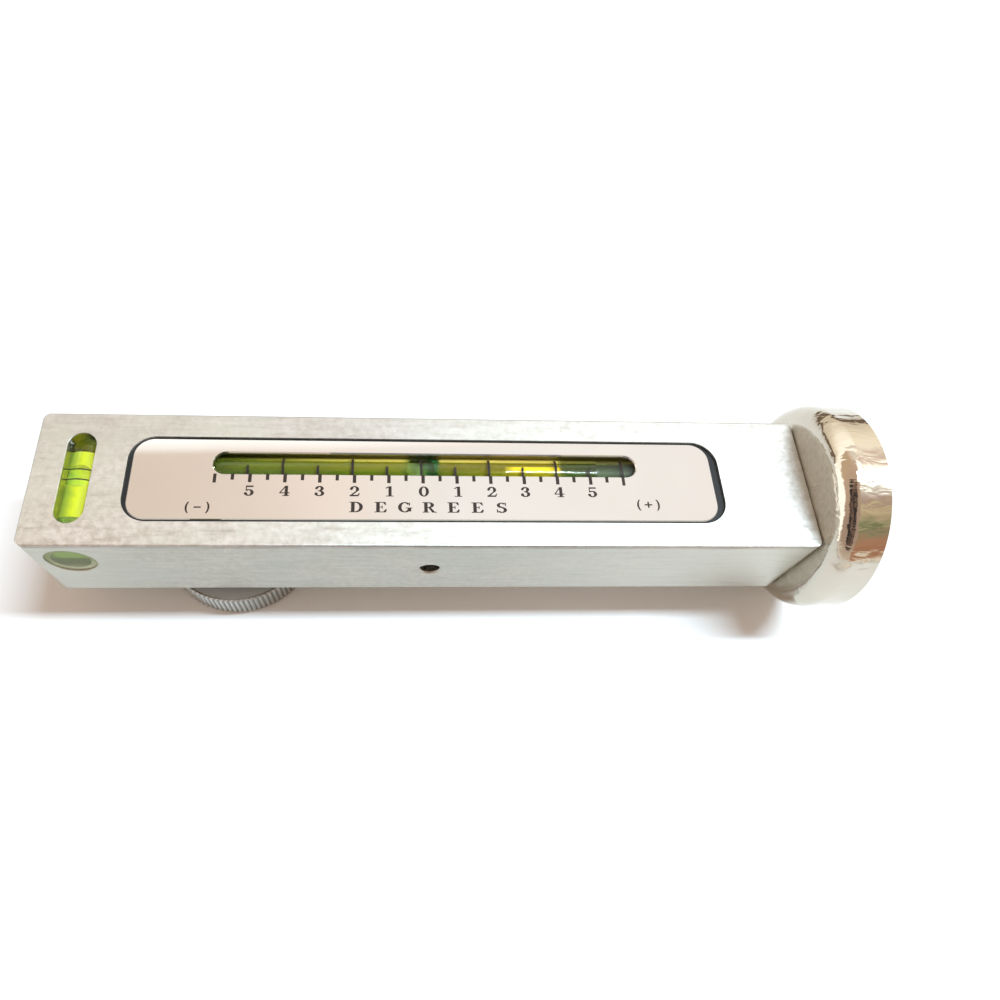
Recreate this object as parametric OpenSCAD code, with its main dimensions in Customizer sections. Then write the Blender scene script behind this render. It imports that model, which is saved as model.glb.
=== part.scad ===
// Camber and caster gauge: an aluminium bar with three spirit vials and a
// magnetic foot. Origin: centre of the magnet's contact face. +X points out
// of the magnet, +Z points out of the camber face. All sizes in millimetres.

/* [Bar] */
// Length of the aluminium bar
body_l = 150; // [146:1:170]
// Width of the bar, across the camber face
body_w = 28.5; // [28:0.5:34]
// Height of the bar, from the caster face to the camber face
body_h = 20.8; // [20.6:0.1:21.6]
// Radius of the bar's four upright edges
corner_r = 2.1; // [0.8:0.1:3]
// Radius along the edges of the two long faces
edge_r = 0.5; // [0.2:0.1:0.8]

/* [Camber face] */
// Length of the recess that the camber plate lies in
recess_l = 115; // [114:0.2:116]
// Width of both plate recesses
recess_w = 18.3; // [17.9:0.1:19]
// Corner radius of both plate recesses
recess_r = 5; // [4:0.5:6]
// Length of the camber plate
plate_l = 112.9; // [110:0.1:113]
// Width of both plates
plate_w = 17.5; // [16.8:0.1:17.6]
// Corner radius of both plates
plate_r = 3.8; // [3:0.2:6]
// Thickness of both plates
plate_t = 0.6; // [0.5:0.1:0.8]
// Thickness of the black seal that beds each plate
seal_t = 0.2; // [0.1:0.05:0.3]
// How far the plates lie below the face around them
plate_drop = 0.4; // [0.2:0.1:0.5]
// Bevel round the plates and their windows
plate_c = 0.2; // [0.1:0.05:0.25]
// Length of the window in the camber plate
slot_l = 82.4; // [76:0.2:84]
// Width of the windows in the plates
slot_w = 4.7; // [4:0.1:5.4]

/* [Camber vial] */
// Outside diameter of the camber vial
cam_d = 6.8; // [6:0.1:7]
// Length of the camber vial
cam_l = 89; // [86:1:89]
// Bore of the camber vial
cam_bore = 5.2; // [4:0.1:5.4]
// Radius of the bubble in the camber vial
cam_bubble = 2.8; // [2:0.1:3.4]

/* [Caster vial and its rocker] */
// Length of the caster plate
cas_plate_l = 78.5; // [76:0.5:79]
// Length of the window in the caster plate
cas_slot_l = 38; // [30:1:38]
// Outside diameter of the caster vial
cas_d = 5.6; // [5:0.1:5.8]
// Bore of the caster vial
cas_bore = 4.2; // [3.4:0.1:4.4]
// Length of the caster vial
cas_l = 42; // [38:1:42]
// Diameter of the pin that the rocker turns on
pin_d = 3; // [2.5:0.1:3]
// Radial clearance of every running fit
fit = 0.05; // [0.02:0.01:0.08]

/* [Adjuster] */
// Distance of the knob's axis from the far end of the bar
knob_x = 33.8; // [33:0.1:34]
// Diameter of the knob over its ribs
knob_d = 32; // [28:0.2:33]
// Thickness of the knob
knob_t = 7.4; // [6:0.1:7.7]
// Number of ribs round the knob
knob_ribs = 94; // [60:2:110]
// Depth of the ribs
rib_depth = 0.4; // [0.2:0.05:0.6]
// Outside diameter of the adjusting screw's thread
screw_d = 6; // [5:0.5:6]

/* [Level vial] */
// Distance of the level vial's axis from the far end of the bar
lev_x = 7.6; // [7.6:0.1:8.6]
// Outside diameter of the level vial
lev_d = 9.2; // [8.4:0.1:9.4]
// Bore of the level vial
lev_bore = 7; // [5:0.2:7.4]
// Length of the window over the level vial
lev_slot_l = 19.2; // [16:0.2:19.4]
// Width of the window over the level vial
lev_slot_w = 5.3; // [4:0.1:6]

/* [Magnet] */
// Diameter of the magnet's cup
mag_d = 42.4; // [42:0.2:46]
// Thickness of the magnet, from the bar to the contact face
mag_t = 9.6; // [8.6:0.2:14]
// Radius of the cup's rounded back edge
mag_shoulder = 4; // [2:0.5:4.5]
// Diameter of the stud that holds the magnet to the bar
stud_d = 6; // [5:0.5:8]

/* [Hidden] */
$fn = 96;

xe = -mag_t - body_l;             // far end of the bar
hz = body_h / 2;
wy = body_w / 2;
rec_d = seal_t + plate_t + plate_drop; // depth of both recesses

rec_x = xe + 74.8;                // middle of the camber recess
plate_x = xe + 74.45;             // middle of the camber plate
plate_y = 0.15;
rec_y = -0.05;
slot_x = xe + 74.4;               // middle of the camber window
slot_y = 3.55;
cam_z = hz - rec_d - 0.2 - cam_d / 2;
cam_x = xe + 74;
saddle_t = 0.5;                   // bed under the camber vial
trough_w = cam_d + 2 * saddle_t;
trough_z = cam_z - cam_d / 2 - saddle_t;

piv_x = xe + 74.7;                // axis of the rocker's pin
piv_z = -0.24;
cas_y = -3.4;                     // the caster vial lies in front
cas_z = piv_z - 4.56;
cas_rec_x = xe + 92;              // middle of the caster recess
rock_a = xe + 46;                 // the rocker's block, from end to end
rock_b = xe + 110;
rock_w = 8;
rock_y0 = cas_y - rock_w / 2;
rock_top = piv_z - 1.26;
rock_bot = piv_z - 4.96;
arm_a = xe + 29;
arm_bot = piv_z - 3.86;
arm_top = piv_z - 1.06;
pocket_bot = -7.3;                // inner end of the threaded bush
spring_x = xe + 106;

knob_z = -mag_d / 2;              // the knob and the cup stand on one plane
lev_z = hz - 6.72;
lev_back = 10.1;

// A flat outline with four round corners, of true arcs
module round_rect(l, w, r) {
    square([l, w - 2 * r], center = true);
    square([l - 2 * r, w], center = true);
    for (sx = [-1, 1], sy = [-1, 1])
        translate([sx * (l / 2 - r), sy * (w / 2 - r)]) circle(r = r);
}

// A straight slot with round ends, along X
module slot2(l, w) {
    square([l - w, w], center = true);
    for (s = [-1, 1]) translate([s * (l - w) / 2, 0]) circle(d = w);
}

// A flat plate with round corners and a bevel round its upper edge
module plate_solid(l, w, r, t, c) {
    rotate([90, 0, 90]) translate([0, 0, -l / 2 + r]) linear_extrude(l - 2 * r)
        polygon([[-w / 2, 0], [w / 2, 0], [w / 2, t - c], [w / 2 - c, t], [-w / 2 + c, t], [-w / 2, t - c]]);
    translate([0, w / 2 - r, 0]) rotate([90, 0, 0]) linear_extrude(w - 2 * r)
        polygon([[-l / 2, 0], [l / 2, 0], [l / 2, t - c], [l / 2 - c, t], [-l / 2 + c, t], [-l / 2, t - c]]);
    for (sx = [-1, 1], sy = [-1, 1])
        translate([sx * (l / 2 - r), sy * (w / 2 - r), 0])
            rotate_extrude() polygon([[0, 0], [r, 0], [r, t - c], [r - c, t], [0, t]]);
}

// What bevels the mouth of a slot: its top lies at z = 0
module slot_bevel(l, w, c) {
    e = 0.1;
    rotate([90, 0, 90]) translate([0, 0, -(l - w) / 2]) linear_extrude(l - w)
        polygon([[-w / 2 - c - e, e], [-w / 2, -c], [w / 2, -c], [w / 2 + c + e, e]]);
    for (s = [-1, 1]) translate([s * (l - w) / 2, 0, -c])
        cylinder(r1 = w / 2, r2 = w / 2 + c + e, h = c + e);
}

// A rod along X from x0 to x1
module rod_x(x0, x1, r, y = 0, z = 0)
    translate([x0, y, z]) rotate([0, 90, 0]) cylinder(r = r, h = x1 - x0);

// A rod along Y from y0 to y1
module rod_y(y0, y1, r, x = 0, z = 0)
    translate([x, y0, z]) rotate([-90, 0, 0]) cylinder(r = r, h = y1 - y0);

// A box given by its lowest and highest corners
module box(a, b) translate(a) cube(b - a);

module bar_block()
    translate([xe + body_l / 2, 0, 0])
        intersection() {
            translate([0, 0, -hz]) linear_extrude(body_h) round_rect(body_l, body_w, corner_r);
            translate([-body_l / 2, 0, 0]) rotate([90, 0, 90])
                linear_extrude(body_l) round_rect(body_w, body_h, edge_r);
            translate([0, wy, 0]) rotate([90, 0, 0])
                linear_extrude(body_w) round_rect(body_l, body_h, edge_r);
        }

module body() color([0.80, 0.79, 0.76])
    difference() {
        bar_block();
        // camber face: recess, trough for the vial, pocket for the rocker's arm
        translate([rec_x, rec_y, hz - rec_d]) linear_extrude(rec_d + 1)
            round_rect(recess_l, recess_w, recess_r);
        box([cam_x - cam_l / 2 - 0.2, slot_y - trough_w / 2, trough_z],
            [cam_x + cam_l / 2 + 0.2, slot_y + trough_w / 2, hz]);
        box([xe + 28, -4.8, pocket_bot], [xe + 54, slot_y + trough_w / 2, hz - rec_d + 0.01]);
        // caster face: recess and the rocker's chamber
        translate([cas_rec_x, 0, -hz - 1]) linear_extrude(rec_d + 1)
            round_rect(cas_plate_l + 1.5, recess_w, recess_r);
        box([xe + 52.6, rock_y0 - 0.8, -hz + rec_d - 0.01], [xe + 112, cas_y + rock_w / 2 + 0.8, 0.6]);
        box([xe + 44, rock_y0 - 0.8, pocket_bot], [xe + 52.7, cas_y + rock_w / 2 + 0.8, 0.6]);
        box([piv_x - 4, rock_y0 - 0.8, 0], [piv_x + 4, -1.1, piv_z + 3.44]);
        // cross hole for the pin, wider where it opens on the front
        rod_y(-wy + 4, wy - 4, pin_d / 2, piv_x, piv_z);
        rod_y(-wy - 1, -wy + 4, 1.94, piv_x, piv_z);
        translate([piv_x, -wy - 0.1, piv_z]) rotate([-90, 0, 0]) cylinder(r1 = 2.34, r2 = 1.94, h = 0.4);
        // hole for the threaded bush
        translate([xe + knob_x, 0, -hz - 1]) cylinder(r = 4.5, h = hz + 1 + pocket_bot + 0.5);
        // level vial: cross bore and window
        rod_y(-wy - 1, lev_back, lev_d / 2, xe + lev_x, lev_z);
        translate([xe + lev_x, -wy - 0.1, lev_z]) rotate([-90, 0, 0]) cylinder(r1 = lev_d / 2 + 0.25, r2 = lev_d / 2, h = 0.25);
        translate([xe + 8.4, 0.05, lev_z]) linear_extrude(hz) rotate(90) slot2(lev_slot_l, lev_slot_w);
        translate([xe + 8.4, 0.05, hz]) rotate(90) slot_bevel(lev_slot_l, lev_slot_w, 0.1);
        // tapped hole for the magnet's stud
        rod_x(-mag_t - 15, -mag_t + 1, stud_d / 2);
    }

module camber_plate() color([0.90, 0.83, 0.78])
    difference() {
        translate([plate_x, plate_y, hz - plate_drop - plate_t]) plate_solid(plate_l, plate_w, plate_r, plate_t, plate_c);
        translate([slot_x, slot_y, hz - rec_d - 1]) linear_extrude(plate_t + 2) slot2(slot_l, slot_w);
        translate([slot_x, slot_y, hz - plate_drop]) slot_bevel(slot_l, slot_w, plate_c);
    }

// Black seal: it beds the plate and fills the gap round it
module camber_seal() color([0.07, 0.07, 0.08])
    difference() {
        translate([rec_x, rec_y, hz - rec_d]) linear_extrude(seal_t + plate_t - 0.15)
            round_rect(recess_l, recess_w, recess_r);
        translate([plate_x, plate_y, hz - plate_drop - plate_t]) linear_extrude(2)
            round_rect(plate_l, plate_w, plate_r);
        translate([0, 0, -1]) box([cam_x - cam_l / 2 - 0.2, slot_y - trough_w / 2, hz - rec_d],
            [cam_x + cam_l / 2 + 0.2, slot_y + trough_w / 2, hz]);
        box([xe + 28, -4.8, hz - rec_d - 1], [xe + 54, slot_y + trough_w / 2, hz]);
    }

module camber_vial() color([0.72, 0.78, 0.25, 0.5])
    difference() {
        rod_x(cam_x - cam_l / 2, cam_x + cam_l / 2, cam_d / 2, slot_y, cam_z);
        rod_x(cam_x - cam_l / 2 - 1, cam_x + cam_l / 2 + 1, cam_bore / 2, slot_y, cam_z);
    }

module camber_fluid() color([0.62, 0.80, 0.10, 0.8])
    difference() {
        rod_x(cam_x - cam_l / 2 + 2.5, cam_x + cam_l / 2 - 2.5, cam_bore / 2, slot_y, cam_z);
        translate([xe + 72.9, slot_y, cam_z + cam_bore / 2]) sphere(r = cam_bubble);
    }

module camber_vial_plugs() color([0.25, 0.42, 0.12])
    for (s = [0, 1])
        rod_x(cam_x - cam_l / 2 + s * (cam_l - 2.5), cam_x - cam_l / 2 + s * (cam_l - 2.5) + 2.5,
              cam_bore / 2, slot_y, cam_z);

module camber_saddle() color([0.93, 0.92, 0.80])
    difference() {
        box([cam_x - cam_l / 2, slot_y - trough_w / 2, trough_z],
            [cam_x + cam_l / 2, slot_y + trough_w / 2, cam_z]);
        rod_x(cam_x - cam_l / 2 - 1, cam_x + cam_l / 2 + 1, cam_d / 2, slot_y, cam_z);
    }

module caster_plate() color([0.90, 0.83, 0.78])
    difference() {
        translate([cas_rec_x, 0, -hz + plate_drop + plate_t]) mirror([0, 0, 1])
            plate_solid(cas_plate_l, plate_w, plate_r, plate_t, plate_c);
        translate([piv_x, cas_y, -hz - 1]) linear_extrude(rec_d + 2) slot2(cas_slot_l, slot_w);
        translate([piv_x, cas_y, -hz + plate_drop]) mirror([0, 0, 1]) slot_bevel(cas_slot_l, slot_w, plate_c);
    }

module caster_seal() color([0.07, 0.07, 0.08])
    difference() {
        translate([cas_rec_x, 0, -hz + plate_drop + 0.15]) linear_extrude(seal_t + plate_t - 0.15)
            round_rect(cas_plate_l + 1.5, recess_w, recess_r);
        translate([cas_rec_x, 0, -hz - 1]) linear_extrude(1 + plate_drop + plate_t)
            round_rect(cas_plate_l, plate_w, plate_r);
        box([xe + 52.6, rock_y0 - 0.8, -hz], [xe + 112, cas_y + rock_w / 2 + 0.8, 0]);
    }

module caster_vial() color([0.72, 0.78, 0.25, 0.5])
    difference() {
        rod_x(piv_x - cas_l / 2, piv_x + cas_l / 2, cas_d / 2, cas_y, cas_z);
        rod_x(piv_x - cas_l / 2 - 1, piv_x + cas_l / 2 + 1, cas_bore / 2, cas_y, cas_z);
    }

// The bubble lies uppermost, because this vial is read with the bar turned over
module caster_fluid() color([0.62, 0.80, 0.10, 0.8])
    difference() {
        rod_x(piv_x - cas_l / 2 + 2, piv_x + cas_l / 2 - 2, cas_bore / 2, cas_y, cas_z);
        translate([piv_x, cas_y, cas_z - cas_bore / 2]) sphere(r = 2.3);
    }

module caster_vial_plugs() color([0.25, 0.42, 0.12])
    for (s = [0, 1])
        rod_x(piv_x - cas_l / 2 + s * (cas_l - 2), piv_x - cas_l / 2 + s * (cas_l - 2) + 2,
              cas_bore / 2, cas_y, cas_z);

module caster_rocker() color([0.16, 0.16, 0.17])
    difference() {
        union() {
            box([rock_a, rock_y0, rock_bot], [rock_b, rock_y0 + rock_w, rock_top]);
            // hub beside the camber vial
            rod_y(rock_y0, -1.6, 3, piv_x, piv_z);
            box([piv_x - 3, rock_y0, rock_top - 0.5], [piv_x + 3, -1.6, piv_z]);
            // arm that the adjuster bears on
            box([arm_a + 3.6, -4, arm_bot], [rock_a + 2, 3.2, arm_top]);
            translate([arm_a + 3.6, -0.4, arm_bot]) cylinder(r = 3.6, h = arm_top - arm_bot);
        }
        rod_x(piv_x - cas_l / 2, piv_x + cas_l / 2, cas_d / 2, cas_y, cas_z);
        rod_y(rock_y0 - 1, 5, pin_d / 2 + fit, piv_x, piv_z);
    }

module pivot_pin() color([0.62, 0.62, 0.64])
    rod_y(-wy + 4.5, wy - 4, pin_d / 2, piv_x, piv_z);

// A coil spring: a round wire swept along a helix
turns = 4.5; per = 16; wr = 0.2; cr = 1.7;
spring_z0 = -hz + rec_d;
module return_spring() color([0.70, 0.71, 0.73])
    let (n = floor(turns * per), rise = (rock_bot - spring_z0 - 2 * wr) / n, m = 8,
         pts = [for (i = [0 : n], k = [0 : m - 1])
                 let (a = 360 * i / per, b = 360 * k / m, r = cr + wr * cos(b))
                 [r * cos(a), r * sin(a), wr + rise * i + wr * sin(b)]])
        translate([spring_x, cas_y, spring_z0])
            polyhedron(points = pts, faces = concat(
                [for (i = [0 : n - 1], k = [0 : m - 1])
                    [i * m + k, i * m + (k + 1) % m, (i + 1) * m + (k + 1) % m]],
                [for (i = [0 : n - 1], k = [0 : m - 1])
                    [i * m + k, (i + 1) * m + (k + 1) % m, (i + 1) * m + k]],
                [[for (k = [m - 1 : -1 : 0]) k]],
                [[for (k = [0 : m - 1]) n * m + k]]));

module adjuster_bush() color([0.78, 0.62, 0.30])
    translate([xe + knob_x, 0, 0]) difference() {
        union() {
            translate([0, 0, -hz]) cylinder(r = 4.5, h = hz + pocket_bot);
            translate([0, 0, -hz - 0.6]) cylinder(r = 5.6, h = 0.6);
        }
        translate([0, 0, -hz - 2]) cylinder(r = screw_d / 2 + fit, h = hz + 2);
    }

// Countersunk screw through the knob, with a slot across its head
module adjuster_screw() color([0.55, 0.55, 0.56])
    translate([xe + knob_x, 0, 0]) difference() {
        union() {
            translate([0, 0, knob_z + 0.2]) cylinder(r1 = screw_d / 2 + 2.6, r2 = screw_d / 2, h = 2.6);
            translate([0, 0, knob_z + 1]) cylinder(r = screw_d / 2, h = arm_bot - 1.15 - knob_z - 1);
            translate([0, 0, arm_bot - 1.5]) cylinder(r = 1.2, h = 0.9);
        }
        translate([-8, -0.6, knob_z - 1]) cube([16, 1.2, 2.3]);
    }

module knob() color([0.74, 0.74, 0.72])
    translate([xe + knob_x, 0, knob_z]) difference() {
        union() {
            intersection() {
                linear_extrude(knob_t) polygon([for (i = [0 : 2 * knob_ribs - 1])
                    let (a = 180 * i / knob_ribs, r = knob_d / 2 - (i % 2) * rib_depth)
                    [r * cos(a), r * sin(a)]]);
                rotate_extrude() polygon([[0, 0], [knob_d / 2 - 0.7, 0], [knob_d / 2 + 0.1, 0.8],
                    [knob_d / 2 + 0.1, knob_t - 0.4], [knob_d / 2 - 0.3, knob_t], [0, knob_t]]);
            }
            translate([0, 0, knob_t]) cylinder(r = 4.6, h = 0.5);
        }
        translate([0, 0, -1]) cylinder(r = screw_d / 2, h = knob_t + 3);
        translate([0, 0, 0.2]) cylinder(r1 = screw_d / 2 + 2.6, r2 = screw_d / 2, h = 2.6);
        translate([0, 0, -1]) cylinder(r = screw_d / 2 + 2.6, h = 1.2);
    }

// Swivel pad on the screw's end: it rises without turning
module thrust_pad() color([0.88, 0.87, 0.80])
    translate([xe + knob_x, 0, 0]) difference() {
        union() {
            translate([0, 0, arm_bot - 1.1]) cylinder(r = 2.3, h = 0.7);
            translate([0, 0, arm_bot - 0.4]) cylinder(r1 = 2.3, r2 = 1.4, h = 0.3);
        }
        translate([0, 0, arm_bot - 2]) cylinder(r = 1.2 + fit, h = 1.45);
    }

module level_vial() color([0.62, 0.82, 0.30, 0.5])
    difference() {
        rod_y(-wy + 0.35, lev_back - 0.1, lev_d / 2 - 0.01, xe + lev_x, lev_z);
        rod_y(-wy - 1, 7.2, lev_bore / 2, xe + lev_x, lev_z);
    }

module level_fluid() color([0.70, 0.85, 0.05, 0.8])
    difference() {
        rod_y(-6.9, 7.2, lev_bore / 2, xe + lev_x, lev_z);
        translate([xe + lev_x, 1.85, lev_z + lev_bore / 2]) sphere(r = 2.4);
    }

module level_vial_plug() color([0.55, 0.72, 0.35])
    rod_y(-wy + 0.35, -6.9, lev_bore / 2, xe + lev_x, lev_z);

// Drawn steel cup, open towards +X
module magnet_cup() color([0.78, 0.74, 0.68])
    rotate([0, 90, 0]) rotate_extrude() difference() {
        union() {
            translate([0, -mag_t]) square([mag_d / 2 - mag_shoulder, mag_t]);
            translate([0, -mag_t + mag_shoulder]) square([mag_d / 2, mag_t - mag_shoulder - 0.4]);
            translate([0, -0.5]) square([mag_d / 2 - 0.4, 0.5]);
            polygon([[mag_d / 2 - 0.5, -0.5], [mag_d / 2, -0.5], [mag_d / 2, -0.4], [mag_d / 2 - 0.4, 0], [mag_d / 2 - 0.5, 0]]);
            translate([mag_d / 2 - mag_shoulder, -mag_t + mag_shoulder]) circle(r = mag_shoulder);
        }
        translate([0, -6.6]) square([mag_d / 2 - 2.2, 10]);
        translate([0, -mag_t - 1]) square([stud_d / 2, mag_t]);
        translate([-100, -50]) square([100, 100]);
    }

module magnet_ring() color([0.22, 0.22, 0.23])
    difference() {
        rod_x(-6.6, -0.25, mag_d / 2 - 2.8);
        rod_x(-7, 1, 8.2);
    }

module magnet_core() color([0.70, 0.70, 0.70])
    difference() {
        rod_x(-6.6, 0, 7);
        rod_x(-7, -2.1, stud_d / 2);
    }

// Resin rings on both sides of the magnet ring
module magnet_potting() color([0.10, 0.10, 0.11]) {
    difference() {
        rod_x(-6.6, -0.3, mag_d / 2 - 2.2);
        rod_x(-7, 1, mag_d / 2 - 2.8);
    }
    difference() {
        rod_x(-6.6, -0.3, 8.2);
        rod_x(-7, 1, 7);
    }
}

module magnet_stud() color([0.60, 0.60, 0.62])
    rod_x(-mag_t - 14, -2.1, stud_d / 2);

body();
camber_plate();
camber_vial();
camber_fluid();
camber_vial_plugs();
camber_saddle();
camber_seal();
caster_plate();
caster_seal();
caster_vial();
caster_fluid();
caster_vial_plugs();
caster_rocker();
pivot_pin();
return_spring();
adjuster_bush();
adjuster_screw();
knob();
thrust_pad();
level_vial();
level_fluid();
level_vial_plug();
magnet_cup();
magnet_ring();
magnet_core();
magnet_potting();
magnet_stud();
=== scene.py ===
import math

import bmesh
import bpy
from mathutils import Matrix, Vector
from mathutils.geometry import delaunay_2d_cdt


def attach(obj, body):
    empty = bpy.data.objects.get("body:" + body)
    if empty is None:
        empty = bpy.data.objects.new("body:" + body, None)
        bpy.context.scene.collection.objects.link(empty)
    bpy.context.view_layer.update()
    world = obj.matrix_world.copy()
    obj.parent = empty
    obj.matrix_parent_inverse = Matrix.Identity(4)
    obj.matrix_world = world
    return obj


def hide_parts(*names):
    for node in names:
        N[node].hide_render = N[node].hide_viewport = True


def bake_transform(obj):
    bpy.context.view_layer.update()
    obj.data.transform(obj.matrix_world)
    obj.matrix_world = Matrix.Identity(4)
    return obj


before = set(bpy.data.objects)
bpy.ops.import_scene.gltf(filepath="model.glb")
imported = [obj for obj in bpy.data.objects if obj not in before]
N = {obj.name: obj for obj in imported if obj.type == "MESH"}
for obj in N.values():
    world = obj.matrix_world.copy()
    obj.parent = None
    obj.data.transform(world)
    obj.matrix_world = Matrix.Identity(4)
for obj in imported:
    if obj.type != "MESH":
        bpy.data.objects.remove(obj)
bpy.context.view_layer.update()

MM = 0.001
XE = -159.6          # far end of the bar, in mm
WY = 14.25           # half the bar's width
HZ = 10.4            # half the bar's height
FLOOR_Z = -21.2
SLOT_Y = 3.55        # middle of the camber window
CAM_Z = 5.6          # axis of the camber vial
CAM_R = 3.4
CAS_Y, CAS_Z, CAS_R, PIV_X = -3.4, -4.8, 2.8, XE + 74.7
LEV_X, LEV_Z, LEV_R = XE + 7.6, 3.68, 4.59
KNOB_X, KNOB_R = 33.8, 16.0


# ---------------------------------------------------------------- camera
def make_camera():
    data = bpy.data.cameras.new("camera")
    cam = bpy.data.objects.new("camera", data)
    bpy.context.scene.collection.objects.link(cam)
    right = Vector((0.99753192, -0.02788267, 0.0644408))
    up = Vector((-0.00178903, 0.90738092, 0.42030545))
    back = Vector((-0.07019159, -0.41938339, 0.90509155))
    rot = Matrix((right, up, back)).transposed().to_4x4()
    cam.matrix_world = Matrix.Translation((-0.092996, -0.068646, 0.129927)) @ rot
    data.sensor_width = 36
    data.lens = 25.7256
    data.shift_x = 0.061
    data.shift_y = 0.042
    data.clip_start = 0.002
    data.clip_end = 20
    bpy.context.scene.camera = cam


make_camera()


# ---------------------------------------------------------------- node helpers
class Tree:
    """A small helper that adds and joins shader nodes."""

    def __init__(self, tree):
        self.t = tree
        self.t.nodes.clear()

    def node(self, kind, **props):
        n = self.t.nodes.new(kind)
        for k, v in props.items():
            setattr(n, k, v)
        return n

    def put(self, socket, value):
        if isinstance(value, bpy.types.NodeSocket):
            self.t.links.new(value, socket)
        elif value is not None:
            if isinstance(value, (tuple, list)) and len(value) == 3 and socket.type == "RGBA":
                value = (*value, 1.0)
            socket.default_value = value

    def math(self, op, a, b=None, c=None, clamp=False):
        n = self.node("ShaderNodeMath", operation=op, use_clamp=clamp)
        for s, v in zip(n.inputs, (a, b, c)):
            self.put(s, v)
        return n.outputs[0]

    def mix(self, fac, a, b, blend="MIX"):
        n = self.node("ShaderNodeMix", data_type="RGBA", blend_type=blend)
        self.put(n.inputs[0], fac)
        self.put(n.inputs[6], a)
        self.put(n.inputs[7], b)
        return n.outputs[2]

    def ramp(self, fac, stops, interp="LINEAR"):
        n = self.node("ShaderNodeValToRGB")
        n.color_ramp.interpolation = interp
        e = n.color_ramp.elements
        while len(e) < len(stops):
            e.new(0.5)
        for el, (p, c) in zip(e, sorted(stops, key=lambda s: s[0])):
            el.position = p
            el.color = (*c, 1.0) if isinstance(c, (tuple, list)) else (c, c, c, 1.0)
        self.put(n.inputs[0], fac)
        return n.outputs[0]

    def span(self, value, lo, hi, a=0.0, b=1.0, smooth=False):
        n = self.node("ShaderNodeMapRange", clamp=True)
        if smooth:
            n.interpolation_type = "SMOOTHSTEP"
        for s, v in zip(n.inputs, (value, lo, hi, a, b)):
            self.put(s, v)
        return n.outputs[0]

    def scaled(self, vec, scale, loc=(0, 0, 0), rot=(0, 0, 0)):
        n = self.node("ShaderNodeMapping")
        self.put(n.inputs[0], vec)
        n.inputs["Location"].default_value = loc
        n.inputs["Rotation"].default_value = rot
        n.inputs["Scale"].default_value = scale if isinstance(scale, (tuple, list)) else (scale,) * 3
        return n.outputs[0]

    def noise(self, vec, scale, detail=3.0, rough=0.5, dist=0.0):
        n = self.node("ShaderNodeTexNoise")
        self.put(n.inputs["Vector"], vec)
        n.inputs["Scale"].default_value = scale
        n.inputs["Detail"].default_value = detail
        n.inputs["Roughness"].default_value = rough
        n.inputs["Distortion"].default_value = dist
        return n.outputs[0]

    def cells(self, vec, scale, feature="F1"):
        n = self.node("ShaderNodeTexVoronoi", feature=feature)
        self.put(n.inputs["Vector"], vec)
        n.inputs["Scale"].default_value = scale
        return n.outputs["Distance"]

    def xyz(self, vec):
        n = self.node("ShaderNodeSeparateXYZ")
        self.put(n.inputs[0], vec)
        return n.outputs

    def bump(self, height, strength, distance, normal=None):
        n = self.node("ShaderNodeBump")
        n.inputs["Strength"].default_value = strength
        n.inputs["Distance"].default_value = distance
        self.put(n.inputs["Height"], height)
        if normal is not None:
            self.put(n.inputs["Normal"], normal)
        return n.outputs[0]


class Mat(Tree):
    """A material with one Principled shader. mm is the object's own position in millimetres."""

    def __init__(self, name, **values):
        self.m = bpy.data.materials.new(name)
        self.m.use_nodes = True
        super().__init__(self.m.node_tree)
        self.out = self.node("ShaderNodeOutputMaterial")
        self.b = self.node("ShaderNodeBsdfPrincipled")
        self.put(self.out.inputs["Surface"], self.b.outputs[0])
        self.mm = self.scaled(self.node("ShaderNodeTexCoord").outputs["Object"], 1000.0)
        self.set(**values)

    def set(self, **values):
        for k, v in values.items():
            self.put(self.b.inputs[k.replace("_", " ")], v)
        return self


def wear(obj, mat):
    """Gives obj this one material."""
    if not obj.material_slots:
        obj.data.materials.append(mat.m)
    for s in obj.material_slots:
        s.material = mat.m


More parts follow.
